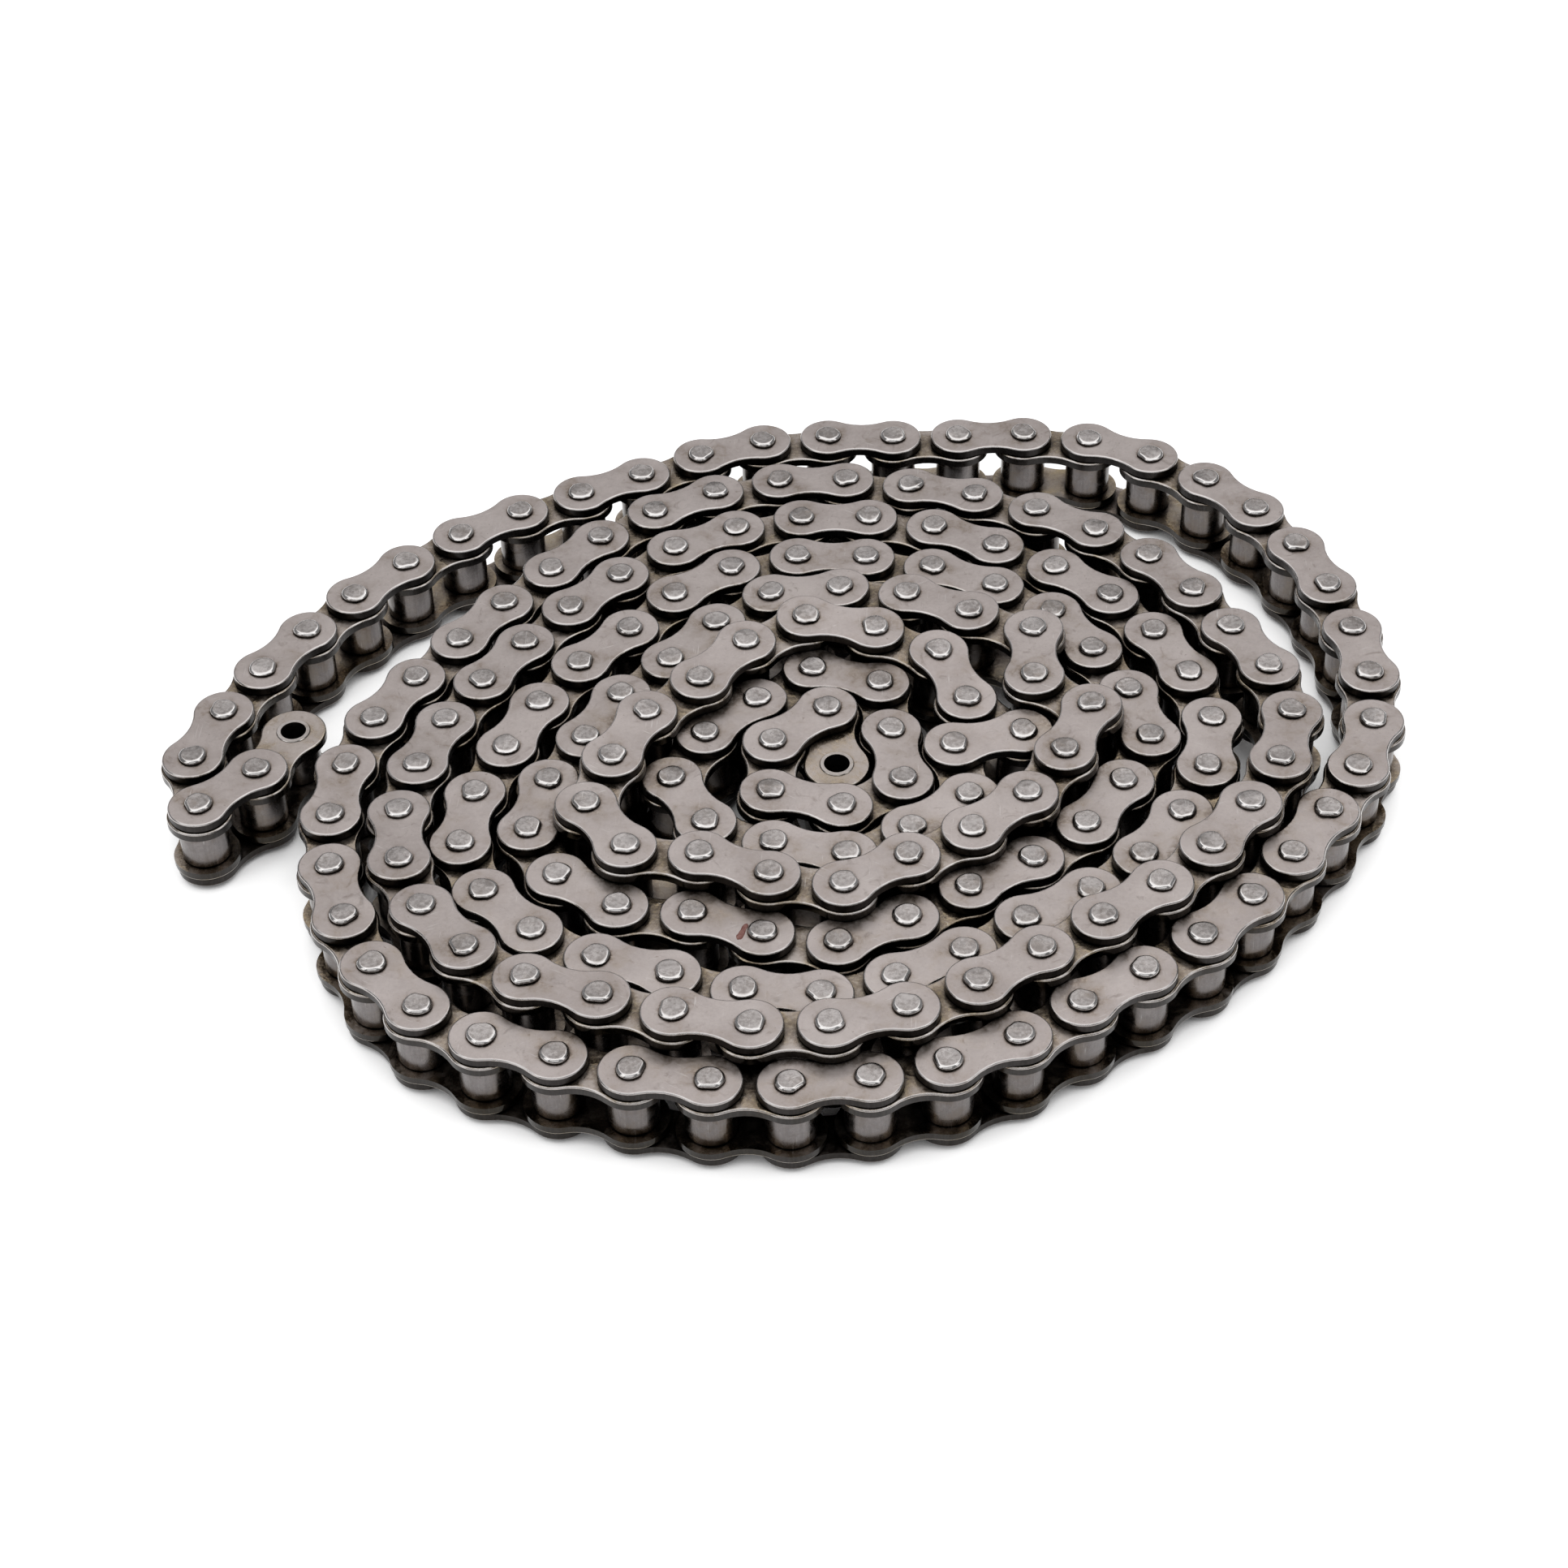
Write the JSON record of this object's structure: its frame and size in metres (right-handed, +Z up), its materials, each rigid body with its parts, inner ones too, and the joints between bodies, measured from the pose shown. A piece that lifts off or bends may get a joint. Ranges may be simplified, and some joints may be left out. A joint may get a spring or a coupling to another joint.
{
  "type": "roller chain",
  "caption": "Simplex bush roller chain in a loose flat coil: waisted outer and inner link plates, riveted pins, bushes and rollers, open bush at each end.",
  "frame": {"origin": "middle of the coil's box, on the surface it lies on", "axes": "+Z up along the pins, +X along the coil's longer side, +Y away from the viewer"},
  "size_m": [0.2198, 0.181, 0.0211],
  "materials": {
    "outer_plate_steel": "satin, oiled",
    "inner_plate_steel": "satin, oil film",
    "pin_steel": "bright, riveted ends",
    "bush_steel": "satin",
    "roller_steel": "dark satin"
  },
  "bodies": {
    "coil": {"coil_inner_plates_top": "inner_plate_steel", "coil_inner_plates_bottom": "inner_plate_steel", "coil_outer_plates_top": "outer_plate_steel", "coil_outer_plates_bottom": "outer_plate_steel", "coil_bushes": "bush_steel", "coil_end_bush": "bush_steel", "coil_rollers": "roller_steel", "coil_pins": "pin_steel"},
    "link_01": {"link_01_inner_plate_top": "inner_plate_steel", "link_01_inner_plate_bottom": "inner_plate_steel", "link_01_bush_a": "bush_steel", "link_01_bush_b": "bush_steel"},
    "link_01_roller_a": {"link_01_roller_a": "roller_steel"},
    "link_01_roller_b": {"link_01_roller_b": "roller_steel"},
    "link_02": {"link_02_outer_plate_top": "outer_plate_steel", "link_02_outer_plate_bottom": "outer_plate_steel", "link_02_pin_a": "pin_steel", "link_02_pin_b": "pin_steel"},
    "link_03": {"link_03_inner_plate_top": "inner_plate_steel", "link_03_inner_plate_bottom": "inner_plate_steel", "link_03_bush_a": "bush_steel", "link_03_bush_b": "bush_steel"},
    "link_03_roller_a": {"link_03_roller_a": "roller_steel"},
    "link_03_roller_b": {"link_03_roller_b": "roller_steel"},
    "link_04": {"link_04_outer_plate_top": "outer_plate_steel", "link_04_outer_plate_bottom": "outer_plate_steel", "link_04_pin_a": "pin_steel", "link_04_pin_b": "pin_steel"},
    "link_05": {"link_05_inner_plates": "inner_plate_steel", "link_05_bushes": "bush_steel"},
    "link_05_roller_a": {"link_05_roller_a": "roller_steel"},
    "link_05_roller_b": {"link_05_roller_b": "roller_steel"},
    "link_06": {"link_06_outer_plates": "outer_plate_steel", "link_06_pins": "pin_steel"},
    "link_07": {"link_07_inner_plates": "inner_plate_steel", "link_07_bushes": "bush_steel"},
    "link_07_roller_a": {"link_07_roller_a": "roller_steel"},
    "link_07_roller_b": {"link_07_roller_b": "roller_steel"},
    "link_08": {"link_08_outer_plates": "outer_plate_steel", "link_08_pins": "pin_steel"},
    "link_09": {"link_09_inner_plates": "inner_plate_steel", "link_09_bushes": "bush_steel"},
    "link_09_roller_a": {"link_09_roller_a": "roller_steel"},
    "link_09_roller_b": {"link_09_roller_b": "roller_steel"},
    "link_10": {"link_10_outer_plates": "outer_plate_steel", "link_10_pins": "pin_steel"},
    "link_11": {"link_11_inner_plates": "inner_plate_steel", "link_11_bushes": "bush_steel"},
    "link_11_roller_a": {"link_11_roller_a": "roller_steel"},
    "link_11_roller_b": {"link_11_roller_b": "roller_steel"},
    "link_12": {"link_12_outer_plates": "outer_plate_steel", "link_12_pins": "pin_steel"},
    "link_13": {"link_13_inner_plates": "inner_plate_steel", "link_13_bushes": "bush_steel"},
    "link_13_roller_a": {"link_13_roller_a": "roller_steel"},
    "link_13_roller_b": {"link_13_roller_b": "roller_steel"},
    "link_14": {"link_14_outer_plates": "outer_plate_steel", "link_14_pins": "pin_steel"}
  },
  "joints": [
    {"name": "hinge_14", "type": "hinge", "parent": "coil", "child": "link_14", "pos_m": [-0.00281, 0.08378, 0.0084], "axis": [0, 0, -1], "range_deg": [0, 35]},
    {"name": "hinge_13", "type": "hinge", "parent": "link_14", "child": "link_13", "pos_m": [-0.01487, 0.07982, 0.0084], "axis": [0, 0, 1], "range_deg": [-35, 0]},
    {"name": "hinge_12", "type": "hinge", "parent": "link_13", "child": "link_12", "pos_m": [-0.0263, 0.07427, 0.0084], "axis": [0, 0, -1], "range_deg": [-1, 45]},
    {"name": "hinge_11", "type": "hinge", "parent": "link_12", "child": "link_11", "pos_m": [-0.03786, 0.06901, 0.0084], "axis": [0, 0, 1], "range_deg": [-45, 1]},
    {"name": "hinge_10", "type": "hinge", "parent": "link_11", "child": "link_10", "pos_m": [-0.0494, 0.06372, 0.0084], "axis": [0, 0, -1], "range_deg": [-1, 55]},
    {"name": "hinge_09", "type": "hinge", "parent": "link_10", "child": "link_09", "pos_m": [-0.06029, 0.05719, 0.0084], "axis": [0, 0, 1], "range_deg": [-55, 2]},
    {"name": "hinge_08", "type": "hinge", "parent": "link_09", "child": "link_08", "pos_m": [-0.07012, 0.04915, 0.0084], "axis": [0, 0, -1], "range_deg": [-2, 65]},
    {"name": "hinge_07", "type": "hinge", "parent": "link_08", "child": "link_07", "pos_m": [-0.07899, 0.04005, 0.0084], "axis": [0, 0, 1], "range_deg": [-65, 3]},
    {"name": "hinge_06", "type": "hinge", "parent": "link_07", "child": "link_06", "pos_m": [-0.08694, 0.03015, 0.0084], "axis": [0, 0, -1], "range_deg": [-4, 75]},
    {"name": "hinge_05", "type": "hinge", "parent": "link_06", "child": "link_05", "pos_m": [-0.09397, 0.01957, 0.0084], "axis": [0, 0, 1], "range_deg": [-75, 6]},
    {"name": "hinge_04", "type": "hinge", "parent": "link_05", "child": "link_04", "pos_m": [-0.09995, 0.00837, 0.0084], "axis": [0, 0, -1], "range_deg": [-12, 100]},
    {"name": "hinge_03", "type": "hinge", "parent": "link_04", "child": "link_03", "pos_m": [-0.10409, -0.00364, 0.0084], "axis": [0, 0, 1], "range_deg": [-10, 6]},
    {"name": "hinge_02", "type": "hinge", "parent": "link_03", "child": "link_02", "pos_m": [-0.10168, -0.01611, 0.0084], "axis": [0, 0, -1], "range_deg": [-1, 6]},
    {"name": "hinge_01", "type": "hinge", "parent": "link_02", "child": "link_01", "pos_m": [-0.09254, -0.00729, 0.0084], "axis": [0, 0, 1], "range_deg": [-9, 6]},
    {"name": "spin_01_a", "type": "hinge", "parent": "link_01", "child": "link_01_roller_a", "pos_m": [-0.08736, 0.0043, 0.0084], "axis": [0, 0, 1], "continuous": true},
    {"name": "spin_01_b", "type": "hinge", "parent": "link_01", "child": "link_01_roller_b", "pos_m": [-0.09254, -0.00729, 0.0084], "axis": [0, 0, 1], "continuous": true},
    {"name": "spin_03_a", "type": "hinge", "parent": "link_03", "child": "link_03_roller_a", "pos_m": [-0.10168, -0.01611, 0.0084], "axis": [0, 0, 1], "continuous": true},
    {"name": "spin_03_b", "type": "hinge", "parent": "link_03", "child": "link_03_roller_b", "pos_m": [-0.10409, -0.00364, 0.0084], "axis": [0, 0, 1], "continuous": true},
    {"name": "spin_05_a", "type": "hinge", "parent": "link_05", "child": "link_05_roller_a", "pos_m": [-0.09995, 0.00837, 0.0084], "axis": [0, 0, 1], "continuous": true},
    {"name": "spin_05_b", "type": "hinge", "parent": "link_05", "child": "link_05_roller_b", "pos_m": [-0.09397, 0.01957, 0.0084], "axis": [0, 0, 1], "continuous": true},
    {"name": "spin_07_a", "type": "hinge", "parent": "link_07", "child": "link_07_roller_a", "pos_m": [-0.08694, 0.03015, 0.0084], "axis": [0, 0, 1], "continuous": true},
    {"name": "spin_07_b", "type": "hinge", "parent": "link_07", "child": "link_07_roller_b", "pos_m": [-0.07899, 0.04005, 0.0084], "axis": [0, 0, 1], "continuous": true},
    {"name": "spin_09_a", "type": "hinge", "parent": "link_09", "child": "link_09_roller_a", "pos_m": [-0.07012, 0.04915, 0.0084], "axis": [0, 0, 1], "continuous": true},
    {"name": "spin_09_b", "type": "hinge", "parent": "link_09", "child": "link_09_roller_b", "pos_m": [-0.06029, 0.05719, 0.0084], "axis": [0, 0, 1], "continuous": true},
    {"name": "spin_11_a", "type": "hinge", "parent": "link_11", "child": "link_11_roller_a", "pos_m": [-0.0494, 0.06372, 0.0084], "axis": [0, 0, 1], "continuous": true},
    {"name": "spin_11_b", "type": "hinge", "parent": "link_11", "child": "link_11_roller_b", "pos_m": [-0.03786, 0.06901, 0.0084], "axis": [0, 0, 1], "continuous": true},
    {"name": "spin_13_a", "type": "hinge", "parent": "link_13", "child": "link_13_roller_a", "pos_m": [-0.0263, 0.07427, 0.0084], "axis": [0, 0, 1], "continuous": true},
    {"name": "spin_13_b", "type": "hinge", "parent": "link_13", "child": "link_13_roller_b", "pos_m": [-0.01487, 0.07982, 0.0084], "axis": [0, 0, 1], "continuous": true}
  ]
}
